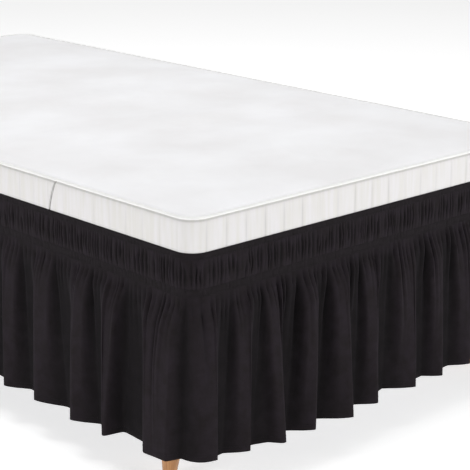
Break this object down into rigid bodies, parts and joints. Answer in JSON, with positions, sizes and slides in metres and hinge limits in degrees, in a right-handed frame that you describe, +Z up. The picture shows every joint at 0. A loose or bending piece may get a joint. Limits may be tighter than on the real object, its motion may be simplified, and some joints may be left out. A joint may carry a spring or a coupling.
{
  "type": "bed skirt on a bed base with mattress",
  "caption": "Gathered bed skirt with a shirred elastic heading, wrapped round a legged bed base under a thin piped mattress, its soft folds hanging to just above the floor.",
  "frame": {"origin": "on the floor under the middle of the bed", "axes": "+Z up, +Y along the bed to its head, -Y to the foot end, +X to the right as seen from the foot"},
  "size_m": [1.0793, 1.9921, 0.552],
  "materials": {
    "skirt_cloth": "near-black brushed microfibre with a faint soft sheen",
    "band_elastic": "near-black cloth casing stretched flat by elastic",
    "mattress_cloth": "matt white quilted ticking",
    "piping_cloth": "white cloth-covered piping",
    "base_cloth": "plain grey woven base cover",
    "leg_wood": "light brown turned wood under satin lacquer"
  },
  "bodies": {
    "root": {"ruffle": "skirt_cloth", "heading": "skirt_cloth", "top_band": "band_elastic", "lower_band": "band_elastic", "mattress": "mattress_cloth", "mattress_piping": "piping_cloth", "bed_base": "base_cloth", "leg_foot_left": "leg_wood", "leg_foot_right": "leg_wood", "leg_head_left": "leg_wood", "leg_head_right": "leg_wood"}
  },
  "joints": []
}
